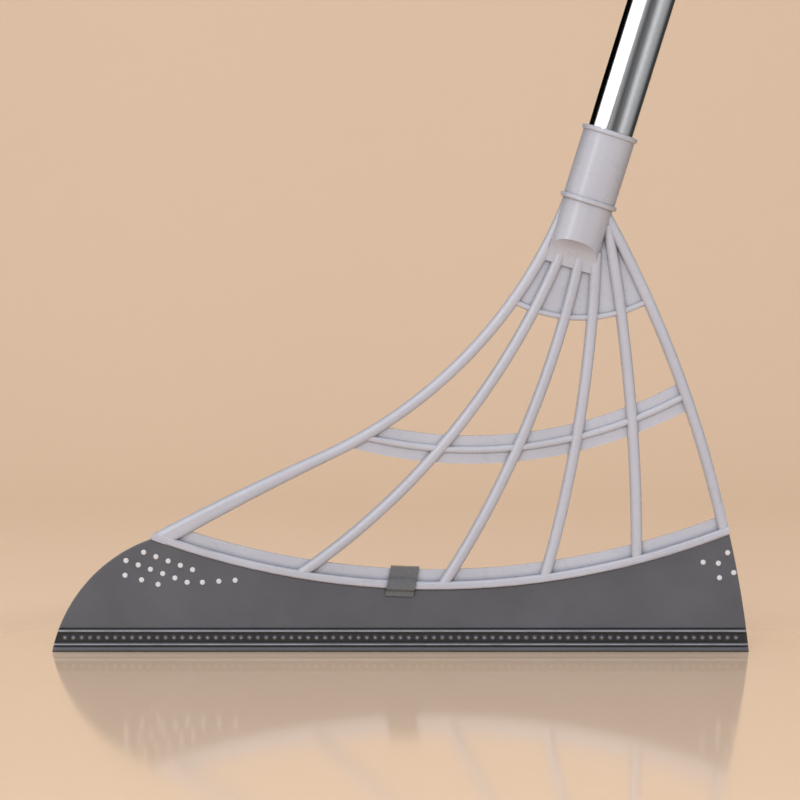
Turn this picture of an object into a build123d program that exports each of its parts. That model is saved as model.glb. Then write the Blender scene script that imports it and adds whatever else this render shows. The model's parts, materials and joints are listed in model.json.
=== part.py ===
from build123d import *
from math import cos, radians, sin, tan
import os

# Hand sweeper with a fan-shaped moulded frame, a soft rubber blade and a screw-together steel pole.
# Millimetres. +X runs along the blade towards the pole's side, +Y is the back, +Z is up.
# The origin is the middle of the blade's working edge, on the floor.

# --- driving dimensions -------------------------------------------------------------------
blade_width = 335.0         # working edge, end to end
pole_lean = 17.2            # lean of the pole towards +X, degrees
mouth_x, mouth_z = 100.0, 249.6   # centre of the socket's mouth
tube_od = 22.0
tube_wall = 0.5
section_length = 225.0      # steel tube of one pole section
section_count = 4
insertion = 26.0            # how far the lowest tube sits in the socket

# --- moulded frame ------------------------------------------------------------------------
rib_width, rib_depth = 5.4, 8.0
plate_depth = 2.4           # thin webs between the ribs
rail_centre = (16.0, 420.0)     # x, z of the centre that the base rail's arcs share
rail_low_radius = 389.7         # lower edge of the rail, where the blade starts
rim_height, rim_depth, rim_corner = 3.9, 8.4, 1.2
rail_web_height = 5.6
brace_centre = (34.0, 311.5)    # x, z of the centre of the middle brace's arcs
brace_radius = 214.0
brace_height = 13.4
brace_bead = 3.6
brace_bead_depth = 5.8
yoke_centre = (86.0, 228.7)     # x, z of the centre of the small arc below the neck
yoke_radius = 67.9
yoke_bead = 2.9
yoke_bead_depth = 5.4
corner_left = (-119.4, 56.2)    # where rail, outer rib and blade meet on the left
corner_right = (157.7, 58.2)
end_rib_width = 8.4             # the long outer rib widens to this at the rail
trim_height = 95.0              # below this height nothing stands out of the fan's outline

# Lines of the fan in its middle plane, each an arc through points given as x, z.
outline_upper_left = [(80.3, 222.8), (40.0, 155.4), (-26.0, 101.0)]
outline_lower_left = [(-26.0, 101.0), (-75.0, 80.4), corner_left]
outline_right = [(99.0, 213.2), (133.2, 139.9), corner_right]
outer_rib_upper = [(79.9, 217.0), (39.0, 150.2), (-35.0, 94.8)]
outer_rib_end = (-118.1, 52.6)
inner_ribs = [
    [(78.4, 196.5), (33.3, 115.9), (-48.4, 37.5)],
    [(86.4, 194.0), (63.4, 116.0), (20.3, 32.3)],
    [(93.2, 192.0), (86.4, 115.9), (69.2, 36.0)],
    [(98.6, 205.0), (109.4, 127.5), (113.3, 44.7)],
    [(96.6, 212.0), (130.8, 138.9), (155.2, 58.5)],
]

# --- socket and neck, measured along the pole from the socket's mouth ---------------------
sleeve_radius = 12.7
neck_radius = 12.4
mouth_bead_radius, mouth_bead_height = 13.6, 2.4
neck_bead_radius, neck_bead_height = 13.9, 2.4
neck_bead_depth = 34.9      # middle of the lower bead
neck_end = 67.6             # lower end of the neck's flat pad
scoop_start = 54.6          # where the hollow under the neck begins
pad_half_depth = 2.8        # half thickness of the pad that the hollows leave
socket_clearance = 0.3      # between tube and socket, on the radius

# --- screw thread shared by the socket, the plugs and the bushes --------------------------
pitch = 4.0
thread_length = 16.0
core_radius, crest_radius = 6.0, 7.6
root_width, crest_width = 2.4, 1.2
thread_clearance = 0.3
ring_height = 4.0           # loose ring between two pole sections
flange_height = 2.0         # flange of the threaded plug
bush_flange = 1.2           # rim of the bush that covers the tube's end
plug_root_radius = 7.7      # plain root that the loose ring turns on
ring_clearance = 0.08
ring_chamfer = 0.4
ridge_overlap = 0.3         # how far a ridge's foot is sunk into its core
run_out = 4.0               # how much deeper a tapped hole is than its thread
entry_height, entry_flare = 2.5, 0.6    # lead-in cone at the top of a tapped hole
shank_length = 20.0         # plug's pressed part inside the tube
shank_hollow_length, shank_hollow_wall = 18.0, 2.5
end_chamfer = 1.0

# --- rubber blade -------------------------------------------------------------------------
blade_side_left = (-154.0, 29.6)    # x, z half way up the curved ends
blade_side_right = (163.3, 29.5)
hinge_height = 19.0         # line about which the free lip bends
top_half_thickness = 2.9    # at blade_top_height
blade_top_height = 58.0
hinge_half_thickness = 1.9
edge_half_thickness = 1.0
lip_gap = 0.3               # clearance round the lip's rounded top
lip_shoulder = 1.6          # how far above the hinge line the blade's sides stop
tongue_bottom = 27.0
tongue_depth = 1.6
tongue_inset = 3.0
tongue_root_inset = 8.0     # its root in the rail stops this far from the rail's ends
pin_radius = 1.3
pin_proud = 0.6
# rows of locking pins: first pin's x, z; step in x, z; how many
left_pin_rows = [
    ((-123.1, 48.3), (5.85, -2.1), 5),
    ((-131.6, 44.3), (5.85, -2.1), 6),
    ((-132.1, 37.2), (7.9, -2.2), 3),
    ((-95.0, 33.8), (7.85, 0.5), 3),
]
right_pin_rows = [
    ((156.8, 48.1), (0.0, 0.0), 1),
    ((145.1, 43.5), (7.3, -0.5), 2),
    ((153.0, 36.0), (6.8, 2.5), 2),
]

# --- clip over the rail, half way along ---------------------------------------------------
clip_width = 13.7
clip_wall = 1.2
clip_lean = 12.0            # the clip's ends lean with the ribs, degrees
clip_x = 0.0
clip_lap = 3.5              # how far the clip laps onto the blade
clip_window = 30.0          # half height of the slanted window that the clip is cut with

# --- grip ---------------------------------------------------------------------------------
grip_length = 112.0
grip_radius = 14.5
grip_groove_radius = 13.7
grip_groove_count = 6
grip_groove_bead = 1.6      # round section of the cut, measured outside the sleeve
grip_rim = 1.5
cap_radius = 13.5
cap_dome, cap_rounding = 12.0, 6.0
cap_plug_length = 18.0
eye_height, eye_width, eye_depth = 26.0, 19.0, 7.0
eye_hole_radius = 4.5

pole_axis = Vector(sin(radians(pole_lean)), 0, cos(radians(pole_lean)))


def pole_plane(distance):
    """Plane across the pole, its normal up the pole, that far above the socket's mouth."""
    mouth = Vector(mouth_x, 0, mouth_z)
    across = (cos(radians(pole_lean)), 0, -sin(radians(pole_lean)))
    return Plane(origin=mouth + pole_axis * distance, x_dir=across, z_dir=pole_axis)


def upright(x, z):
    """A point of the frame's middle plane."""
    return (x, 0, z)


def on_circle(centre, radius, x):
    """Lower point of a circle of the middle plane at the given x."""
    return upright(x, centre[1] - (radius**2 - (x - centre[0]) ** 2) ** 0.5)


def arc_through(points):
    """Arc of the middle plane through three points given as x, z."""
    return ThreePointArc(*[upright(x, z) for x, z in points])


def low_arc(centre, radius, x_from, x_to):
    """Arc along the bottom of a circle of the middle plane."""
    middle = (x_from + x_to) / 2
    ends = [on_circle(centre, radius, x) for x in (x_from, middle, x_to)]
    return ThreePointArc(*ends)


def sweep_bar(path, profile, start=0):
    """Sweeps a profile, drawn with its x along the depth, along a path of the middle plane."""
    section = Plane(origin=path @ start, x_dir=(0, 1, 0), z_dir=path % start)
    return sweep(section * profile, path=path)


def slab(face, depth):
    """A flat plate of that depth, centred on the middle plane."""
    return extrude(face, amount=depth / 2, dir=(0, 1, 0), both=True)


def band(centre, inner, outer, depth):
    """A plate between two circles about one centre."""
    ring = Circle(outer) - Circle(inner)
    return slab(Plane.XZ * Pos(*centre) * ring, depth)


# --- outlines in the middle plane ---------------------------------------------------------
def fan_face():
    """Silhouette of the ribs, webs and rail, below the neck's bead."""
    upper, lower = arc_through(outline_upper_left), arc_through(outline_lower_left)
    right = arc_through(outline_right)
    rail = low_arc(rail_centre, rail_low_radius, corner_left[0], corner_right[0])
    closing = [Line(lower @ 1, rail @ 0), Line(rail @ 1, right @ 1), Line(upper @ 0, right @ 0)]
    return make_face([upper, lower, right, rail] + closing)


def blade_face(top_radius):
    """Silhouette of the blade, from the floor to an arc about the rail's centre."""
    half = blade_width / 2
    top = low_arc(rail_centre, top_radius, corner_left[0], corner_right[0])
    left = ThreePointArc(top @ 0, upright(*blade_side_left), upright(-half, 0))
    right = ThreePointArc(top @ 1, upright(*blade_side_right), upright(half, 0))
    return make_face([top, left, right, Line(left @ 1, right @ 1)])


# --- moulded frame ------------------------------------------------------------------------
def outer_rib_left():
    """The long rib: one arc down from the neck, then a nearly straight run that widens."""
    upper = arc_through(outer_rib_upper)
    lower = TangentArc(upper @ 1, upright(*outer_rib_end), tangent=upper % 1)
    first = Plane(origin=lower @ 0, x_dir=(0, 1, 0), z_dir=lower % 0)
    last = Plane(origin=lower @ 1, x_dir=(0, 1, 0), z_dir=lower % 1)
    widening = sweep(
        sections=[
            first * SlotOverall(rib_depth, rib_width),
            last * RectangleRounded(rib_depth, end_rib_width, rib_width / 2 - 0.1),
        ],
        path=lower,
        multisection=True,
    )
    return sweep_bar(upper, SlotOverall(rib_depth, rib_width)) + widening


def ribs():
    """All six ribs; the inner ones run down into the rail's rim."""
    profile = SlotOverall(rib_depth, rib_width)
    return [outer_rib_left()] + [sweep_bar(arc_through(line), profile) for line in inner_ribs]


def base_rail():
    """Raised rim along the blade, with a thin web above it."""
    middle = rail_low_radius - rim_height / 2
    over = 10
    path = low_arc(rail_centre, middle, corner_left[0] - over, corner_right[0] + over)
    rim = sweep_bar(path, RectangleRounded(rim_depth, rim_height, rim_corner))
    web_outer = rail_low_radius - rim_height / 2
    web_inner = rail_low_radius - rim_height - rail_web_height
    return rim + band(rail_centre, web_inner, web_outer, plate_depth)


def middle_brace():
    path = low_arc(brace_centre, brace_radius, -20.0, 136.0)
    bead = sweep_bar(path, SlotOverall(brace_bead_depth, brace_bead))
    half = brace_height / 2
    return bead + band(brace_centre, brace_radius - half, brace_radius + half, plate_depth)


def yoke():
    """Small arc below the neck, and the plate that fills the fan above it."""
    path = low_arc(yoke_centre, yoke_radius, 46.0, 120.0)
    bead = sweep_bar(path, SlotOverall(yoke_bead_depth, yoke_bead))
    return bead + slab(Plane.XZ * Pos(*yoke_centre) * Circle(yoke_radius), plate_depth)


def webs():
    """Rail, brace and yoke, cut to the fan's silhouette."""
    cutter = slab(fan_face(), rim_depth + 2)
    return (base_rail() + middle_brace() + yoke()) & cutter


def tongue():
    """Thin plate below the rail that the blade is moulded round."""
    plate = slab(offset(blade_face(rail_low_radius), amount=-tongue_inset), tongue_depth)
    root = band(
        rail_centre, rail_low_radius - rim_height / 2, rail_low_radius + 2 * tongue_inset, tongue_depth,
    )
    span = corner_right[0] - corner_left[0] - 2 * tongue_root_inset
    limits = Pos((corner_left[0] + corner_right[0]) / 2, 0, 0) * Box(span, 20, 200)
    plate += root & limits
    room = Box(2 * blade_width, 20, 200, align=(Align.CENTER, Align.CENTER, Align.MIN))
    return plate & Pos(0, 0, tongue_bottom) * room


def neck_hollow():
    """Concave cut down the front of the neck, from its surface to the pad."""
    reach, depth = neck_end - scoop_start, neck_radius - pad_half_depth
    radius = (reach**2 + depth**2) / (2 * depth)
    return Pos(0, -pad_half_depth - radius, -neck_end) * Rot(0, 90, 0) * Cylinder(radius, 4 * neck_radius)


def neck_blank():
    """Outside of the socket and neck as one turned shape, with the hollows under the neck."""
    shape = Pos(0, 0, -neck_end / 2) * Cylinder(neck_radius, neck_end)
    shape += Pos(0, 0, -neck_bead_depth / 2) * Cylinder(sleeve_radius, neck_bead_depth)
    mouth_bead = Pos(0, 0, -mouth_bead_height / 2) * Cylinder(mouth_bead_radius, mouth_bead_height)
    neck_bead = Pos(0, 0, -neck_bead_depth) * Cylinder(neck_bead_radius, neck_bead_height)
    shape += fillet(mouth_bead.edges().filter_by(GeomType.CIRCLE), mouth_bead_height / 2 - 0.3)
    shape += fillet(neck_bead.edges().filter_by(GeomType.CIRCLE), neck_bead_height / 2 - 0.3)
    hollow = neck_hollow()
    return shape - hollow - mirror(hollow, about=Plane.XZ)


def socket_cutters():
    """Room for the tube, then the threaded hole below it."""
    shoulder = insertion + flange_height + ring_height
    bore = Pos(0, 0, -shoulder / 2 + 1) * Cylinder(tube_od / 2 + socket_clearance, shoulder + 2)
    return [bore] + [Pos(0, 0, -shoulder) * cutter for cutter in thread_cutters()]


def fan_frame(pins):
    """Neck, ribs, webs, rail and tongue as one moulding."""
    fan = webs()
    for one in ribs():
        fan += one
    # below the neck, what stands out of the silhouette is trimmed away
    low_box = Plane.XZ * Rectangle(2 * blade_width, 2 * trim_height)
    fan -= slab(low_box, 3 * rib_depth) - slab(fan_face(), 4 * rib_depth)
    fan -= pole_plane(-scoop_start / 2) * Cylinder(neck_radius - 1, scoop_start)
    neck = neck_blank()
    for cutter in socket_cutters():
        neck -= cutter
    frame = fan + pole_plane(0) * neck + tongue()
    return (frame - pins).clean()


# --- screw thread -------------------------------------------------------------------------
def thread_ridge(radius_in, radius_out, wide, narrow, low, turns):
    """Right-hand helical ridge about Z, from height low."""
    half_in, half_out = wide / 2, narrow / 2
    section = Plane.XZ * Polygon(
        (radius_in, -half_in), (radius_out, -half_out), (radius_out, half_out), (radius_in, half_in),
        align=None,
    )
    path = Helix(pitch=pitch, height=pitch * turns, radius=radius_in)
    return Pos(0, 0, low) * sweep(section, path=path, is_frenet=True)


def thread_cutters():
    """Tapped hole that runs down from height 0, with running room round the male thread."""
    gap = thread_clearance
    depth = thread_length + run_out
    above = 1
    hole = Pos(0, 0, (above - depth) / 2) * Cylinder(core_radius + gap, depth + above)
    entry = Cone(core_radius + gap - 0.1, crest_radius + gap + entry_flare, entry_height)
    entry = Pos(0, 0, above / 2 - entry_height / 2) * entry
    wide = root_width + 2 * gap + ridge_overlap
    narrow = crest_width + 2 * gap
    ridge = thread_ridge(
        core_radius + gap - ridge_overlap, crest_radius + gap, wide, narrow,
        -thread_length - pitch / 4, thread_length / pitch + 1,
    )
    return [hole, ridge, entry]


def threaded_plug():
    """Plug pressed into a tube's lower end. Height 0 is the tube's end; the thread points down."""
    shank_radius = tube_od / 2 - tube_wall
    shank = Pos(0, 0, shank_length / 2) * Cylinder(shank_radius, shank_length)
    shank = chamfer(shank.faces().sort_by(Axis.Z)[-1].edges(), end_chamfer)
    flange = Pos(0, 0, -flange_height / 2) * Cylinder(tube_od / 2, flange_height)
    root = Pos(0, 0, -flange_height - ring_height / 2) * Cylinder(plug_root_radius, ring_height)
    top = -flange_height - ring_height
    core = Pos(0, 0, top - thread_length / 2) * Cylinder(core_radius, thread_length)
    core = chamfer(core.faces().sort_by(Axis.Z)[0].edges(), end_chamfer)
    ridge = thread_ridge(
        core_radius - ridge_overlap, crest_radius, root_width + ridge_overlap, crest_width,
        top - thread_length + 3 * pitch / 4, thread_length / pitch - 1,
    )
    hollow = Cylinder(shank_radius - shank_hollow_wall, shank_hollow_length)
    hollow = Pos(0, 0, shank_length + 1 - shank_hollow_length / 2) * hollow
    return shank + flange + root + core + ridge - hollow


def threaded_bush():
    """Bush pressed into a tube's upper end. Height 0 is its top face; the thread runs down."""
    length = thread_length + 2 * run_out
    outside = Pos(0, 0, -bush_flange / 2) * Cylinder(tube_od / 2, bush_flange)
    outside += Pos(0, 0, -length / 2) * Cylinder(tube_od / 2 - tube_wall, length)
    for cutter in thread_cutters():
        outside -= cutter
    return outside


# --- rubber blade -------------------------------------------------------------------------
def half_thickness(height):
    """Half the blade's thickness at a height above the floor."""
    if height > hinge_height:
        rise = (height - hinge_height) / (blade_top_height - hinge_height)
        return hinge_half_thickness + rise * (top_half_thickness - hinge_half_thickness)
    rise = height / hinge_height
    return edge_half_thickness + rise * (hinge_half_thickness - edge_half_thickness)


def along_blade(points):
    """A prism along the whole blade from points given as y, z."""
    section = Plane.YZ * Polygon(*points, align=None)
    return extrude(section, amount=blade_width, both=True)


def hinge_rod(radius):
    return Pos(0, 0, hinge_height) * Rot(0, 90, 0) * Cylinder(radius, 2 * blade_width)


def blade(pins):
    """Upper part of the blade, moulded round the tongue and the pins."""
    low, high = hinge_height + lip_shoulder, blade_top_height + 2
    points = [
        (-half_thickness(low), low), (half_thickness(low), low),
        (half_thickness(high), high), (-half_thickness(high), high),
    ]
    body = along_blade(points) & slab(blade_face(rail_low_radius), rim_depth)
    return (body - hinge_rod(hinge_half_thickness + lip_gap) - tongue() - pins).clean()


def blade_lip():
    """Free lower part of the blade, with a rounded top that bends in the blade's groove."""
    points = [
        (-edge_half_thickness, 0), (edge_half_thickness, 0),
        (hinge_half_thickness, hinge_height), (-hinge_half_thickness, hinge_height),
    ]
    body = along_blade(points) + hinge_rod(hinge_half_thickness)
    return (body & slab(blade_face(rail_low_radius), rim_depth)).clean()


def locking_pins(rows):
    """Round-headed pins right through the blade and the tongue."""
    pins = []
    for (x, z), (step_x, step_z), count in rows:
        for index in range(count):
            place = Pos(x + index * step_x, 0, z + index * step_z)
            length = 2 * (half_thickness(z + index * step_z) + pin_proud)
            pin = fillet(Cylinder(pin_radius, length).edges().filter_by(GeomType.CIRCLE), pin_proud)
            pins.append(place * Rot(90, 0, 0) * pin)
    return pins


# --- clip ---------------------------------------------------------------------------------
def centre_clip(frame, rubber):
    """Clip folded over the rail, filling the rail's steps and lapping onto the blade."""
    blade_side = half_thickness(on_circle(rail_centre, rail_low_radius, clip_x)[2]) + clip_wall
    rim_side = rim_depth / 2 + clip_wall
    web_side = plate_depth / 2 + clip_wall
    top = rim_height + rail_web_height + clip_wall
    side = [
        (-blade_side, -clip_lap), (blade_side, -clip_lap), (blade_side, -clip_wall),
        (rim_side, 0), (rim_side, rim_height), (web_side, rim_height + clip_wall), (web_side, top),
        (-web_side, top), (-web_side, rim_height + clip_wall), (-rim_side, rim_height),
        (-rim_side, 0), (-blade_side, -clip_wall),
    ]
    path = low_arc(rail_centre, rail_low_radius, clip_x - 2 * clip_width, clip_x + 2 * clip_width)
    start = Plane(origin=path @ 0, x_dir=(0, 1, 0), z_dir=path % 0)
    upward = 1 if start.y_dir.Z > 0 else -1
    profile = Polygon(*[(y, upward * v) for y, v in side], align=None)
    wrap = sweep(start * profile, path=path)
    height = on_circle(rail_centre, rail_low_radius, clip_x)[2]
    shift = clip_window * tan(radians(clip_lean))
    half = clip_width / 2
    window = Polygon(
        (-half - shift, -clip_window), (half - shift, -clip_window),
        (half + shift, clip_window), (-half + shift, clip_window),
        align=None,
    )
    cutter = slab(Plane.XZ * Pos(clip_x, height) * window, 4 * rim_depth)
    return ((wrap & cutter) - frame - rubber).clean()


# --- pole ---------------------------------------------------------------------------------
def pole_tube():
    tube = Pos(0, 0, section_length / 2) * Cylinder(tube_od / 2, section_length)
    return tube - Pos(0, 0, section_length / 2) * Cylinder(tube_od / 2 - tube_wall, section_length)


def joint_ring():
    """Loose ring between two sections; height 0 is its lower face."""
    bore = plug_root_radius + ring_clearance
    ring = Cylinder(tube_od / 2, ring_height) - Cylinder(bore, ring_height)
    rims = ring.edges().filter_by(GeomType.CIRCLE).sort_by(SortBy.RADIUS)[-2:]
    return Pos(0, 0, ring_height / 2) * chamfer(rims, ring_chamfer)


def grip_sleeve():
    """Soft sleeve on the top of the pole, with shallow finger grooves; height 0 is its lower end."""
    sleeve = Pos(0, 0, grip_length / 2) * Cylinder(grip_radius, grip_length)
    rims = sleeve.edges().filter_by(GeomType.CIRCLE)
    sleeve = fillet(rims, grip_rim)
    spacing = grip_length / (grip_groove_count + 1)
    for index in range(grip_groove_count):
        groove = Torus(grip_radius + grip_groove_bead, grip_groove_bead + grip_radius - grip_groove_radius)
        sleeve -= Pos(0, 0, spacing * (index + 1)) * groove
    return sleeve - Pos(0, 0, grip_length / 2) * Cylinder(tube_od / 2, grip_length)


def end_cap():
    """Domed cap with a hanging eye; height 0 is the tube's end, and its plug points down."""
    shank_radius = tube_od / 2 - tube_wall
    plug = Pos(0, 0, -cap_plug_length / 2) * Cylinder(shank_radius, cap_plug_length)
    plug = chamfer(plug.faces().sort_by(Axis.Z)[0].edges(), end_chamfer)
    skirt = Pos(0, 0, cap_dome / 2) * Cylinder(cap_radius, cap_dome)
    skirt = fillet(skirt.faces().sort_by(Axis.Z)[-1].edges(), cap_rounding)
    top = cap_dome + eye_height - eye_width / 2
    tab = Pos(0, 0, top / 2) * Box(eye_width, eye_depth, top)
    tab += Pos(0, 0, top) * Rot(90, 0, 0) * Cylinder(eye_width / 2, eye_depth)
    hole = Pos(0, 0, top) * Rot(90, 0, 0) * Cylinder(eye_hole_radius, 4 * eye_depth)
    return plug + skirt + tab - hole


# --- assembly -----------------------------------------------------------------------------
def section_start(index):
    """Distance from the socket's mouth to the lower end of that section's tube."""
    step = section_length + bush_flange + ring_height + flange_height
    return index * step - insertion


def pole_parts():
    """The screw-together sections from the head up; the last one carries the grip."""
    parts = {}
    for index in range(section_count):
        number = index + 1
        start = section_start(index)
        end = start + section_length
        parts[f"pole_tube_{number}"] = pole_plane(start) * pole_tube()
        parts[f"threaded_plug_{number}"] = pole_plane(start) * threaded_plug()
        parts[f"joint_ring_{number}"] = pole_plane(start - flange_height - ring_height) * joint_ring()
        if number < section_count:
            parts[f"threaded_bush_{number}"] = pole_plane(end + bush_flange) * threaded_bush()
        else:
            parts["grip_sleeve"] = pole_plane(end - grip_length) * grip_sleeve()
            parts["end_cap"] = pole_plane(end) * end_cap()
    return parts


def head_parts():
    left, right = locking_pins(left_pin_rows), locking_pins(right_pin_rows)
    pins = left + right
    frame = fan_frame(pins)
    rubber = blade(pins)
    return {
        "fan_frame": frame,
        "blade": rubber,
        "blade_lip": blade_lip(),
        "centre_clip": centre_clip(frame, rubber),
        "blade_pins_left": Compound(children=left),
        "blade_pins_right": Compound(children=right),
    }


if __name__ == "__main__":
    os.makedirs("parts", exist_ok=True)
    for name, shape in {**head_parts(), **pole_parts()}.items():
        export_step(shape, f"parts/{name}.step")
        print(name, "written")
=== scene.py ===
import json
import math

import bmesh
import bpy
from mathutils import Matrix, Vector


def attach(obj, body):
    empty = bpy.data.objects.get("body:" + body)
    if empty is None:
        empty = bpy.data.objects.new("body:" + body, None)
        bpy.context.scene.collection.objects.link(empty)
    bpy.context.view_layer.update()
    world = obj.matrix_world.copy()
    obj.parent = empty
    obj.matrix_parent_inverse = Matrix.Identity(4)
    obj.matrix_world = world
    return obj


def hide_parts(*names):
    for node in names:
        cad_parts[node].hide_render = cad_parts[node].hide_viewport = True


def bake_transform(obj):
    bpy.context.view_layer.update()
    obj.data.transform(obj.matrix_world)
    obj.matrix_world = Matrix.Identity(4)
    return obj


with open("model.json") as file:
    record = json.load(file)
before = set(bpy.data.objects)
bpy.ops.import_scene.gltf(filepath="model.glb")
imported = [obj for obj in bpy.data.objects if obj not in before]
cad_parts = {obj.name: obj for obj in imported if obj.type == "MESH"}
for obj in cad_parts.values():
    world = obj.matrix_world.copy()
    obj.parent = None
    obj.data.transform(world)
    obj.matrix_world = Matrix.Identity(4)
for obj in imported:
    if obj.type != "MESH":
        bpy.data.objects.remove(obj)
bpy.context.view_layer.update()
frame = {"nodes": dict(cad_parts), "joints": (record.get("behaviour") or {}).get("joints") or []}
nodes = frame["nodes"]
mm = 0.001


# --- shader helpers -----------------------------------------------------------------------
class Shader:
    """A node material with a few short ways to add and join nodes."""

    def __init__(self, name, color, roughness, metallic=0.0, specular=0.5):
        self.material = bpy.data.materials.new(name)
        self.material.use_nodes = True
        self.tree = self.material.node_tree
        self.surface = self.tree.nodes["Principled BSDF"]
        self.surface.inputs["Base Color"].default_value = (*color, 1)
        self.surface.inputs["Roughness"].default_value = roughness
        self.surface.inputs["Metallic"].default_value = metallic
        self.surface.inputs["Specular IOR Level"].default_value = specular
        self.place = self.tree.nodes.new("ShaderNodeTexCoord").outputs["Object"]

    def node(self, kind, **settings):
        made = self.tree.nodes.new(kind)
        for key, value in settings.items():
            setattr(made, key, value)
        return made

    def join(self, output, target):
        self.tree.links.new(output, target)

    def stretched(self, scale, turn=(0, 0, 0)):
        """The object's coordinates, turned and then scaled."""
        mapping = self.node("ShaderNodeMapping", vector_type="POINT")
        mapping.inputs["Rotation"].default_value = turn
        mapping.inputs["Scale"].default_value = scale
        self.join(self.place, mapping.inputs["Vector"])
        return mapping.outputs["Vector"]

    def noise(self, scale, detail=4.0, vector=None, roughness=0.55):
        made = self.node("ShaderNodeTexNoise")
        made.inputs["Scale"].default_value = scale
        made.inputs["Detail"].default_value = detail
        made.inputs["Roughness"].default_value = roughness
        self.join(vector or self.place, made.inputs["Vector"])
        return made.outputs["Fac"]

    def span(self, value, low, high, to_low=0.0, to_high=1.0):
        """Maps the range low to high onto to_low to to_high."""
        made = self.node("ShaderNodeMapRange")
        made.inputs["From Min"].default_value = low
        made.inputs["From Max"].default_value = high
        made.inputs["To Min"].default_value = to_low
        made.inputs["To Max"].default_value = to_high
        self.join(value, made.inputs["Value"])
        return made.outputs["Result"]

    def mix(self, factor, first, second):
        """Mixes two colours; each is a colour or an output."""
        made = self.node("ShaderNodeMix", data_type="RGBA")
        self.join(factor, made.inputs["Factor"])
        for name, value in (("A", first), ("B", second)):
            target = next(s for s in made.inputs if s.name == name and s.type == "RGBA")
            if isinstance(value, tuple):
                target.default_value = (*value, 1)
            else:
                self.join(value, target)
        return next(s for s in made.outputs if s.type == "RGBA")

    def math(self, operation, first, second):
        made = self.node("ShaderNodeMath", operation=operation)
        for target, value in zip(made.inputs, (first, second)):
            if isinstance(value, (int, float)):
                target.default_value = value
            else:
                self.join(value, target)
        return made.outputs["Value"]

    def bump(self, height, distance, strength=1.0):
        made = self.node("ShaderNodeBump")
        made.inputs["Distance"].default_value = distance
        made.inputs["Strength"].default_value = strength
        self.join(height, made.inputs["Height"])
        self.join(made.outputs["Normal"], self.surface.inputs["Normal"])

    def closeness(self, distance, inside=False):
        """1 in the open and 0 deep in a groove; inside turns it round, for sharp edges."""
        made = self.node("ShaderNodeAmbientOcclusion", samples=8, inside=inside)
        made.inputs["Distance"].default_value = distance
        return made.outputs["AO"]

    def set(self, name, output):
        self.join(output, self.surface.inputs[name])


# --- sizes, in millimetres ----------------------------------------------------------------
blade_width = 335.0
hinge_height = 19.0
edge_half, hinge_half, top_half = 1.0, 1.9, 2.9     # half thicknesses of the blade
blade_top = 58.0
rail_centre, rail_radius = (16.0, 420.0), 389.7
rail_ends = -119.4, 157.7           # x where the rail meets the blade's two ends
side_left, side_right = (-154.0, 29.6), (163.3, 29.5)    # half way up the blade's two ends
tube_radius, tube_wall, tube_length = 11.0, 0.5, 225.0

unscrew = [j for j in frame["joints"] if j["name"].endswith("_unscrew")]
pole_axis = Vector(unscrew[0]["axis"]).normalized()


# --- materials ----------------------------------------------------------------------------
def moulded_plastic(name, color, roughness=0.30, grain=1.0):
    """Moulded polypropylene: fine spark-eroded grain, faint flow marks, small scuffs and painted
    shade in creases.
    """
    flow_scale, scuff_scale, grain_scale, crease_reach = 18.0, 160.0, 2600.0, 0.003
    shader = Shader(name, color, roughness, specular=0.45)
    flow = shader.noise(flow_scale, detail=3.0, vector=shader.stretched((1, 1, 0.35)))
    pale = tuple(min(1.0, c * 1.05) for c in color)
    deep = tuple(c * 0.93 for c in color)
    surface = shader.mix(shader.span(flow, 0.35, 0.65), deep, pale)
    # painted shade: base colour darkened where nearby surfaces hem a point in, standing in for shade
    # in creases and joints
    painted_shade = tuple(c * 0.30 for c in color)
    crease = shader.span(shader.closeness(crease_reach), 0.2, 0.9)
    shader.set("Base Color", shader.mix(crease, painted_shade, surface))
    scuff = shader.noise(scuff_scale, detail=5.0, roughness=0.7)
    shader.set("Roughness", shader.span(scuff, 0.3, 0.7, roughness - 0.07, roughness + 0.08))
    fine = shader.noise(grain_scale, detail=2.0)
    shader.bump(fine, 0.00006 * grain, 0.5)
    return shader.material


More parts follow.
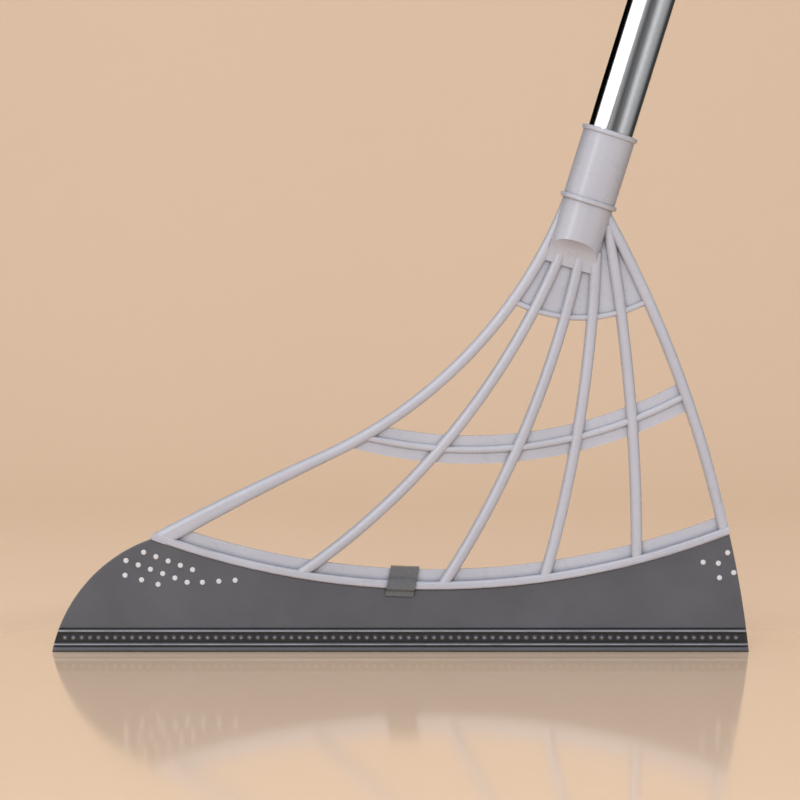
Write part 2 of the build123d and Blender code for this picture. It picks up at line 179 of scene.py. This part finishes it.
def soft_rubber(name, color, roughness=0.56, relief_painted_light=False):
    """Matt moulded rubber: dusty bloom, fine tooth, painted shade in creases, painted highlight on
    sharp edges.

    With relief_painted_light, raised ridges get a painted highlight, broken up in patches, and
    grooves painted shade, where the mesh's relief says so.
    """
    bloom_scale, patch_scale, rub_scale, tooth_scale = 24.0, 330.0, 70.0, 1900.0
    crease_reach, ridge_reach = 0.0016, 0.0005
    shader = Shader(name, color, roughness, specular=0.4)
    shader.surface.inputs["Sheen Weight"].default_value = 0.12
    shader.surface.inputs["Sheen Roughness"].default_value = 0.5
    bloom = shader.noise(bloom_scale, detail=6.0, roughness=0.62)
    pale = tuple(c * 1.14 for c in color)
    deep = tuple(c * 0.92 for c in color)
    surface = shader.mix(shader.span(bloom, 0.35, 0.68), deep, pale)
    # painted shade: base colour darkened where nearby surfaces hem a point in, standing in for shade
    # in creases
    painted_shade = tuple(c * 0.22 for c in color)
    # painted highlight: sharp edges painted pale, standing in for the highlight that runs along them
    painted_edge_highlight = tuple(c * 2.6 for c in color)
    crease = shader.span(shader.closeness(crease_reach), 0.35, 0.85)
    ridge = shader.span(shader.closeness(ridge_reach, inside=True), 0.25, 0.75)
    surface = shader.mix(ridge, painted_edge_highlight, surface)
    if relief_painted_light:
        relief = shader.node("ShaderNodeAttribute", attribute_name="relief").outputs["Fac"]
        patchy = shader.noise(patch_scale, detail=4.0, vector=shader.stretched((0.35, 1, 1)))
        # relief drives painted light: raised ridges and stud tips painted pale as a highlight, in
        # patches; grooves painted dark as shade
        high, low = shader.span(relief, 0.45, 0.66), shader.span(relief, -0.40, -0.66)
        ridge_highlight = shader.math("MULTIPLY", high, shader.span(patchy, 0.3, 0.6, 0.55, 1.0))
        surface = shader.mix(ridge_highlight, surface, tuple(c * 3.6 for c in color))
        surface = shader.mix(low, surface, tuple(c * 0.10 for c in color))
    shader.set("Base Color", shader.mix(crease, painted_shade, surface))
    rub = shader.noise(rub_scale, detail=5.0, vector=shader.stretched((0.4, 1, 1)))
    shader.set("Roughness", shader.span(rub, 0.3, 0.7, roughness - 0.08, roughness + 0.1))
    tooth = shader.noise(tooth_scale, detail=3.0)
    shader.bump(tooth, 0.00008, 0.5)
    return shader.material


def polished_steel(name):
    """Drawn and polished stainless tube: fine lines along the pole and faint rub marks."""
    shader = Shader(name, (0.74, 0.745, 0.755), 0.1, metallic=1.0)
    upright_turn = (0, -math.atan2(pole_axis.x, pole_axis.z), 0)
    across, along = 2600, 26
    drawn = shader.stretched((across, across, along), upright_turn)
    lines = shader.noise(1.0, detail=4.0, vector=drawn)
    smear = shader.noise(30.0, detail=5.0, vector=shader.stretched((1, 1, 0.3), upright_turn))
    fine = shader.span(lines, 0.3, 0.7, 0.0, 0.06)
    shader.set("Roughness", shader.math("ADD", fine, shader.span(smear, 0.3, 0.75, 0.06, 0.13)))
    tint = shader.mix(shader.span(lines, 0.3, 0.7), (0.70, 0.705, 0.715), (0.80, 0.80, 0.805))
    shader.set("Base Color", tint)
    shader.bump(lines, 0.000004, 0.35)
    return shader.material


frame_grey = moulded_plastic("frame_grey", (0.440, 0.448, 0.508))
pin_grey = moulded_plastic("pin_grey", (0.62, 0.615, 0.635), roughness=0.28, grain=0.4)
blade_rubber = soft_rubber("blade_rubber", (0.086, 0.089, 0.104), roughness=0.46, relief_painted_light=True)
clip_grey = moulded_plastic("clip_grey", (0.125, 0.128, 0.138), roughness=0.26, grain=0.6)
thread_grey = moulded_plastic("thread_grey", (0.05, 0.05, 0.055), roughness=0.42)
grip_rubber = soft_rubber("grip_rubber", (0.060, 0.060, 0.066), roughness=0.62)
steel = polished_steel("steel")


# --- mesh helpers -------------------------------------------------------------------------
def new_object(name, mesh, material):
    made = bpy.data.objects.new(name, mesh)
    bpy.context.scene.collection.objects.link(made)
    mesh.materials.append(material)
    for polygon in mesh.polygons:
        polygon.use_smooth = True
    return made


def sharpen(thing, degrees):
    """Smooth shading, broken where faces meet at more than that angle."""
    with bpy.context.temp_override(object=thing, selected_editable_objects=[thing]):
        bpy.context.view_layer.objects.active = thing
        thing.select_set(True)
        bpy.ops.object.shade_smooth_by_angle(angle=math.radians(degrees))
        thing.select_set(False)


def lathe(name, profile, start, material, steps=96):
    """Turns (radius, height) points, in millimetres, about the pole's axis from a start point."""
    turn = Vector((0, 0, 1)).rotation_difference(pole_axis).to_matrix().to_4x4()
    place = Matrix.Translation(start) @ turn
    build = bmesh.new()
    rings = []
    for radius, height in profile:
        ring = []
        for step in range(steps):
            angle = 2 * math.pi * step / steps
            point = Vector((radius * math.cos(angle), radius * math.sin(angle), height)) * mm
            ring.append(build.verts.new(place @ point))
        rings.append(ring)
    for lower, upper in zip(rings, rings[1:]):
        for step in range(steps):
            after = (step + 1) % steps
            build.faces.new((lower[step], lower[after], upper[after], upper[step]))
    bmesh.ops.recalc_face_normals(build, faces=build.faces)
    mesh = bpy.data.meshes.new(name)
    build.to_mesh(mesh)
    build.free()
    return new_object(name, mesh, material)


def add_bevel(thing, width, degrees=35.0, segments=2):
    """Softens the moulded edges of a carried-over part."""
    weld = thing.modifiers.new("weld", "WELD")
    weld.merge_threshold = 0.000002
    bevel = thing.modifiers.new("bevel", "BEVEL")
    bevel.width = width * mm
    bevel.segments = segments
    bevel.limit_method = "ANGLE"
    bevel.angle_limit = math.radians(degrees)
    bevel.use_clamp_overlap = True


def paint(node, material):
    """Gives a carried-over part its material."""
    part = nodes[node]
    part.data.materials.clear()
    part.data.materials.append(material)
    return part


# --- rubber blade -------------------------------------------------------------------------
def arc_x(points, height):
    """x at a height on the circle through three (x, z) points, on the points' own side."""
    (x1, z1), (x2, z2), (x3, z3) = points
    a, b, c, d = x2 - x1, z2 - z1, x3 - x1, z3 - z1
    e, f = (a * (x1 + x2) + b * (z1 + z2)) / 2, (c * (x1 + x3) + d * (z1 + z3)) / 2
    det = a * d - b * c
    cx, cz = (d * e - b * f) / det, (a * f - c * e) / det
    reach = math.sqrt(max(0.0, (x1 - cx) ** 2 + (z1 - cz) ** 2 - (height - cz) ** 2))
    return min((cx - reach, cx + reach), key=lambda x: abs(x - x2))


def rail_line(x):
    """Height of the rail's lower edge at x."""
    return rail_centre[1] - math.sqrt(rail_radius**2 - (x - rail_centre[0]) ** 2)


corner_left, corner_right = [(x, rail_line(x)) for x in rail_ends]
left_end = [corner_left, side_left, (-blade_width / 2, 0.0)]
right_end = [corner_right, side_right, (blade_width / 2, 0.0)]


def half_thickness(height):
    if height > hinge_height:
        share = (height - hinge_height) / (blade_top - hinge_height)
        return hinge_half + share * (top_half - hinge_half)
    return edge_half + height / hinge_height * (hinge_half - edge_half)


# raised and sunk bands along the lower edge: height, and how far the face stands out
bands = [
    (0.0, 0.0), (0.25, 0.32), (0.6, 0.46), (1.5, 0.46), (2.1, 0.40), (2.32, 0.10),
    (2.45, -0.55), (2.75, -0.68), (3.02, -0.55), (3.12, 0.15), (3.3, 0.55), (3.65, 0.68),
    (4.0, 0.55), (4.2, 0.10), (4.35, -0.55), (4.7, -0.72), (5.1, -0.62), (6.9, -0.62),
    (8.7, -0.62), (9.15, -0.72), (9.45, -0.55), (9.62, 0.10), (9.82, 0.55), (10.2, 0.68),
    (10.6, 0.55), (10.82, 0.10), (10.95, -0.50), (11.3, -0.66), (11.62, -0.50), (11.8, 0.0),
    (12.4, 0.08), (13.6, 0.06), (15.5, 0.0), (17.8, 0.0), (20.0, 0.0),
]
band_top = bands[-1][0]
rows_above, columns = 18, 260
edge_round = 0.4            # the blade's ends are rounded over this distance
relief_fade = 1.6           # the bands fade out over this distance from the ends


def blade_point(across, row):
    """(x, z, stand-out) on the blade for a share across and a row number."""
    if row < len(bands):
        height, out = bands[row]
        low, high = arc_x(left_end, height), arc_x(right_end, height)
        return low + across * (high - low), height, out
    rise = (row - len(bands) + 1) / rows_above
    z_left = band_top + rise * (corner_left[1] - band_top)
    z_right = band_top + rise * (corner_right[1] - band_top)
    low, high = arc_x(left_end, z_left), arc_x(right_end, z_right)
    x = low + across * (high - low)
    top_x = corner_left[0] + across * (corner_right[0] - corner_left[0])
    return x, band_top + rise * (rail_line(top_x) - band_top), 0.0


def column_share(column):
    """Shares across the blade, with close columns at both ends for the rounded edges."""
    close = [0.0, 0.12, 0.3, 0.6, 1.1, 1.8]
    if column < len(close):
        return close[column] / blade_width
    if column > columns - len(close):
        return 1 - close[columns - column] / blade_width
    inner = (column - len(close) + 1) / (columns - 2 * len(close) + 2)
    start = close[-1] / blade_width
    return start + inner * (1 - 2 * start)


def rubber_blade():
    """The whole blade as one skin, front and back, with its moulded bands."""
    build = bmesh.new()
    total = len(bands) + rows_above
    faces = {}
    # relief: how far the face stands out; blade_rubber paints a highlight on raised bands and shade
    # in sunk ones from it
    relief = build.verts.layers.float.new("relief")
    for side in (-1, 1):
        for row in range(total):
            for column in range(columns + 1):
                across = column_share(column)
                x, z, out = blade_point(across, row)
                inset = min(across, 1 - across) * blade_width
                share = max(0.0, 1 - inset / edge_round)
                half = half_thickness(z) + out * min(1.0, inset / relief_fade)
                half *= math.sqrt(max(0.0, 1 - share**2 * 0.75))
                faces[side, row, column] = build.verts.new((x * mm, side * half * mm, z * mm))
                faces[side, row, column][relief] = out
    for side in (-1, 1):
        for row in range(total - 1):
            for column in range(columns):
                right, up = column + 1, row + 1
                corners = [(row, column), (row, right), (up, right), (up, column)]
                build.faces.new([faces[side, r, c] for r, c in corners])
    border = [(0, c) for c in range(columns + 1)]
    border += [(r, columns) for r in range(1, total)]
    border += [(total - 1, c) for c in range(columns - 1, -1, -1)]
    border += [(r, 0) for r in range(total - 2, 0, -1)]
    for here, there in zip(border, border[1:] + border[:1]):
        build.faces.new((faces[-1, *here], faces[-1, *there], faces[1, *there], faces[1, *here]))
    bmesh.ops.recalc_face_normals(build, faces=build.faces)
    mesh = bpy.data.meshes.new("rubber_blade")
    build.to_mesh(mesh)
    build.free()
    return new_object("rubber_blade", mesh, blade_rubber)


def lip_studs():
    """Rows of small pointed studs in the sunk band, on both faces."""
    pitch, height, radius, proud = 4.03, 6.85, 1.3, 1.25
    sunk, end_margin = 0.65, 6
    # relief values set blade_rubber's painted light: a painted highlight on the stud tips, a little
    # painted shade at their feet
    relief_at_foot, relief_gain, relief_at_tip = -0.45, 1.15, 0.7
    build = bmesh.new()
    relief = build.verts.layers.float.new("relief")
    half_count = int((blade_width / 2 - end_margin) / pitch)
    shape = [(1.0, 0.0), (0.93, 0.28), (0.74, 0.55), (0.46, 0.78), (0.2, 0.93)]
    steps = 14
    for side in (-1, 1):
        base = half_thickness(height) - sunk
        for index in range(-half_count, half_count + 1):
            rings = []
            for share, rise in shape:
                ring = []
                for step in range(steps):
                    angle = 2 * math.pi * step / steps
                    x = index * pitch + radius * share * math.cos(angle)
                    z = height + radius * share * math.sin(angle)
                    point = build.verts.new((x * mm, side * (base + proud * rise) * mm, z * mm))
                    point[relief] = relief_gain * rise + relief_at_foot
                    ring.append(point)
                rings.append(ring)
            tip = build.verts.new((index * pitch * mm, side * (base + proud) * mm, height * mm))
            tip[relief] = relief_at_tip
            for lower, upper in zip(rings, rings[1:]):
                for step in range(steps):
                    after = (step + 1) % steps
                    build.faces.new((lower[step], lower[after], upper[after], upper[step]))
            for step in range(steps):
                build.faces.new((rings[-1][step], rings[-1][(step + 1) % steps], tip))
            build.faces.new(rings[0])
    bmesh.ops.recalc_face_normals(build, faces=build.faces)
    mesh = bpy.data.meshes.new("lip_studs")
    build.to_mesh(mesh)
    build.free()
    return new_object("lip_studs", mesh, blade_rubber)


blade = rubber_blade()
sharpen(blade, 50)
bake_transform(blade)
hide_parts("blade", "blade_lip")
studs = lip_studs()
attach(studs, "blade_lip")


# --- frame, clip and pins -----------------------------------------------------------------
fan = paint("fan_frame", frame_grey)
clip = paint("centre_clip", clip_grey)
add_bevel(clip, 0.35)
for node in ("blade_pins_left", "blade_pins_right"):
    paint(node, pin_grey)


# --- pole ---------------------------------------------------------------------------------
def steel_tube(name, start):
    """Thin tube with rolled ends and a crimped groove that holds each insert."""
    outer, inner, length = tube_radius, tube_radius - tube_wall, tube_length
    crimp, depth, reach = 10.0, 0.35, 1.3       # the groove's height, depth and half width
    slope_radius, slope = outer - depth * 0.6, 0.6
    near = [
        (inner, 0.35), (inner + 0.12, 0.06), (outer - 0.18, 0.0), (outer, 0.3),
        (outer, crimp - reach), (slope_radius, crimp - slope), (outer - depth, crimp),
        (slope_radius, crimp + slope), (outer, crimp + reach),
    ]
    far = [(radius, length - height) for radius, height in reversed(near)]
    middle = [(outer, length * share) for share in (0.25, 0.5, 0.75)]
    tube = lathe(name, near + middle + far + [near[0]], start, steel, steps=128)
    sharpen(tube, 30)
    return tube


def grip(start, length):
    """Rubber sleeve with flared ends and close rings of shallow grooves."""
    inner, body = tube_radius, 13.8
    flare = [(inner, 0.0), (13.7, 0.0), (14.3, 0.5), (14.5, 1.2), (14.5, 3.6), (14.2, 4.4)]
    ring_pitch, ring_depth, swell = 3.2, 0.55, 0.45
    plain_end, run_in = 7.0, 1.4
    first, last = plain_end, length - plain_end
    count = int((last - first) / ring_pitch)
    profile = flare + [(body, first - run_in)]
    for index in range(count):
        low = first + index * ring_pitch
        crown = body + swell * math.sin(math.pi * (index + 0.5) / count)
        shallow = crown - ring_depth * 0.8
        profile += [
            (crown, low), (crown, low + 1.7), (shallow, low + 2.0),
            (crown - ring_depth, low + 2.45), (shallow, low + 2.9),
        ]
    profile += [(body, last + run_in)]
    profile += [(radius, length - height) for radius, height in reversed(flare)]
    profile += [(inner, 0.0)]
    sleeve = lathe("grip_skin", profile, start, grip_rubber, steps=112)
    sharpen(sleeve, 40)
    return sleeve


for number, joint in enumerate(unscrew, start=1):
    body = f"pole_{number}"
    start = Vector(joint["pos_m"])
    tube = steel_tube(f"steel_tube_{number}", start)
    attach(tube, body)
    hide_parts(f"pole_tube_{number}")
    paint(f"threaded_plug_{number}", thread_grey)
    paint(f"joint_ring_{number}", frame_grey)
    if f"threaded_bush_{number}" in nodes:
        paint(f"threaded_bush_{number}", thread_grey)

grip_length = 112.0
grip_start = Vector(unscrew[-1]["pos_m"]) + pole_axis * (tube_length - grip_length) * mm
sleeve = grip(grip_start, grip_length)
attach(sleeve, "pole_4")
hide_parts("grip_sleeve")
cap = paint("end_cap", frame_grey)
add_bevel(cap, 0.8, segments=3)


# --- floor, lights and camera -------------------------------------------------------------
def swept_wall(name, line, turns, material):
    """A floor that curves up into a wall.

    line lists (reach, height) points, and turns has a function for each column of points that
    gives the (x, y) place of a reach.
    """
    build = bmesh.new()
    rows = [[build.verts.new((*place(reach), height)) for place in turns] for reach, height in line]
    for low, high in zip(rows, rows[1:]):
        for here in range(len(turns) - 1):
            build.faces.new((low[here], low[here + 1], high[here + 1], high[here]))
    mesh = bpy.data.meshes.new(name)
    build.to_mesh(mesh)
    build.free()
    wall = new_object(name, mesh, material)
    return wall


def curved_foot(foot, radius, top):
    """(reach, height) points of a wall at that reach, with a rounded foot."""
    line, steps = [], 24
    for step in range(steps + 1):
        angle = math.pi / 2 * step / steps
        line.append((foot - radius + radius * math.sin(angle), radius - radius * math.cos(angle)))
    return line + [(foot, top)]


def backdrop():
    """Pale floor that curves up into a wall behind the object, and a far wall all round.

    The wall can be seen through from its back. The far wall only fills the background of the side
    views, and lights nothing.
    """
    shader = Shader("pale_floor", (0.84, 0.63, 0.45), 0.1, specular=0.5)
    reach = shader.node("ShaderNodeVectorMath", operation="DISTANCE")
    shader.join(shader.place, reach.inputs[0])
    reach.inputs[1].default_value = (0.0, -0.17, 0.0)
    shader.set("Roughness", shader.span(reach.outputs["Value"], 0.27, 0.42, 0.09, 0.8))
    clear = shader.node("ShaderNodeBsdfTransparent")
    either = shader.node("ShaderNodeMixShader")
    shader.join(shader.node("ShaderNodeNewGeometry").outputs["Backfacing"], either.inputs["Fac"])
    shader.join(shader.surface.outputs["BSDF"], either.inputs[1])
    shader.join(clear.outputs["BSDF"], either.inputs[2])
    shader.join(either.outputs["Shader"], shader.tree.nodes["Material Output"].inputs["Surface"])
    half_width = 8.0
    ends = [lambda y, x=x: (x, y) for x in (-half_width, half_width)]
    line = [(-half_width, 0.0), (-1.0, 0.0), (0.0, 0.0)] + curved_foot(foot=1.6, radius=0.9, top=3.4)
    swept_wall("floor", line, ends, shader.material)
    around = [math.radians(-5 * step) for step in range(73)]
    turns = [lambda r, a=angle: (r * math.sin(a), -r * math.cos(a)) for angle in around]
    line = curved_foot(foot=8.0, radius=2.0, top=9.0)
    far = swept_wall("far_wall", line, turns, shader.material)
    for ray in ("diffuse", "glossy", "transmission", "shadow"):
        setattr(far, "visible_" + ray, False)


def area_light(name, place, aim, size, brightness, color=(1, 1, 1)):
    """A softbox of that width and height, in metres; brightness is its radiance."""
    data = bpy.data.lights.new(name, "AREA")
    data.shape = "RECTANGLE"
    data.size, data.size_y = size
    data.energy = brightness * math.pi * size[0] * size[1]
    data.color = color
    light = bpy.data.objects.new(name, data)
    light.location = place
    light.rotation_euler = (Vector(aim) - Vector(place)).to_track_quat("-Z", "Y").to_euler()
    bpy.context.scene.collection.objects.link(light)
    return light


def reflecting_screen(name, reach, first, last, low, glow):
    """Curved screen about the pole that only shiny surfaces see.

    It stands at that reach and runs between two angles, in degrees to the right of the camera's
    direction. glow lists its brightness at equal steps between them.
    """
    top, steps = 1.5, 24
    middle = (0.12, 0.0)
    mesh = bpy.data.meshes.new(name)
    corners = []
    for step in range(steps + 1):
        angle = math.radians(first + (last - first) * step / steps)
        x, y = middle[0] + reach * math.sin(angle), middle[1] - reach * math.cos(angle)
        corners += [(x, y, low), (x, y, top)]
    strips = [(2 * n, 2 * n + 2, 2 * n + 3, 2 * n + 1) for n in range(steps)]
    mesh.from_pydata(corners, [], strips)
    layer = mesh.color_attributes.new("glow", "FLOAT_COLOR", "POINT")
    for index, point in enumerate(layer.data):
        place = (index // 2) / steps * (len(glow) - 1)
        below = min(int(place), len(glow) - 2)
        value = glow[below] + (place - below) * (glow[below + 1] - glow[below])
        point.color = (0.98 * value, 0.985 * value, value, 1)
    material = bpy.data.materials.new(name)
    material.use_nodes = True
    tree = material.node_tree
    emission = tree.nodes.new("ShaderNodeEmission")
    shade = tree.nodes.new("ShaderNodeAttribute")
    shade.attribute_name = "glow"
    tree.links.new(shade.outputs["Color"], emission.inputs["Color"])
    tree.links.new(emission.outputs["Emission"], tree.nodes["Material Output"].inputs["Surface"])
    screen = new_object(name, mesh, material)
    screen.visible_camera = False
    screen.visible_diffuse = False
    screen.visible_shadow = False
    screen.visible_transmission = False
    return screen


backdrop()
target = Vector((-0.00024, 0.0, 0.1213))
cool = (0.97, 0.98, 1.0)
aim_left, aim_low, left_size = (0.05, 0, 0.25), (0.05, 0, 0.2), (2.4, 1.45)
key = area_light("key", (-1.2, -0.7, 0.88), aim_left, left_size, 1.45, cool)
key.visible_diffuse = False
soft_key = area_light("soft_key", (-1.2, -0.9, 0.9), aim_low, left_size, 0.3, cool)
soft_key.visible_glossy = False
strip = area_light("strip", (-0.85, -0.95, 0.75), (0.05, 0, 0.15), (0.14, 1.3), 11.0, cool)
strip.visible_diffuse = False
area_light("fill", (1.5, -1.1, 0.7), aim_left, (0.9, 1.2), 1.0, cool)
area_light("top", (0.0, -0.2, 2.2), (0, 0, 0), (1.8, 1.4), 2.6, (0.98, 0.985, 1.0))
front = area_light("front", (-0.1, -2.2, 0.8), (0, 0, 0.15), (1.6, 1.2), 5.9, cool)
front.visible_glossy = False
reflecting_screen("behind_left", 0.9, -170, -104, 0.34, [0.0, 0.0])
front_glow = [0.5, 0.10, 0.22, 0.80, 0.50, 0.36, 0.10]
reflecting_screen("front_right", 0.5, -23, 112, 0.0, front_glow)
reflecting_screen("behind_right", 0.5, 112, 150, 0.0, [0.06, 0.04])

world = bpy.data.worlds.new("studio")
bpy.context.scene.world = world
world.use_nodes = True
world.node_tree.nodes["Background"].inputs["Color"].default_value = (0.93, 0.95, 1.0, 1)
world.node_tree.nodes["Background"].inputs["Strength"].default_value = 0.25

view_width = 382.9 * mm      # width of the picture in the blade's plane
camera_distance, camera_height_angle = 1.7, math.radians(4.0)
camera_data = bpy.data.cameras.new("camera")
camera_data.lens = camera_data.sensor_width * camera_distance / view_width
camera = bpy.data.objects.new("camera", camera_data)
back = Vector((0, -math.cos(camera_height_angle), math.sin(camera_height_angle)))
camera.location = target + back * camera_distance
camera.rotation_euler = (-back).to_track_quat("-Z", "Y").to_euler()
bpy.context.scene.collection.objects.link(camera)
bpy.context.scene.camera = camera
bpy.context.scene.view_settings.view_transform = "Standard"
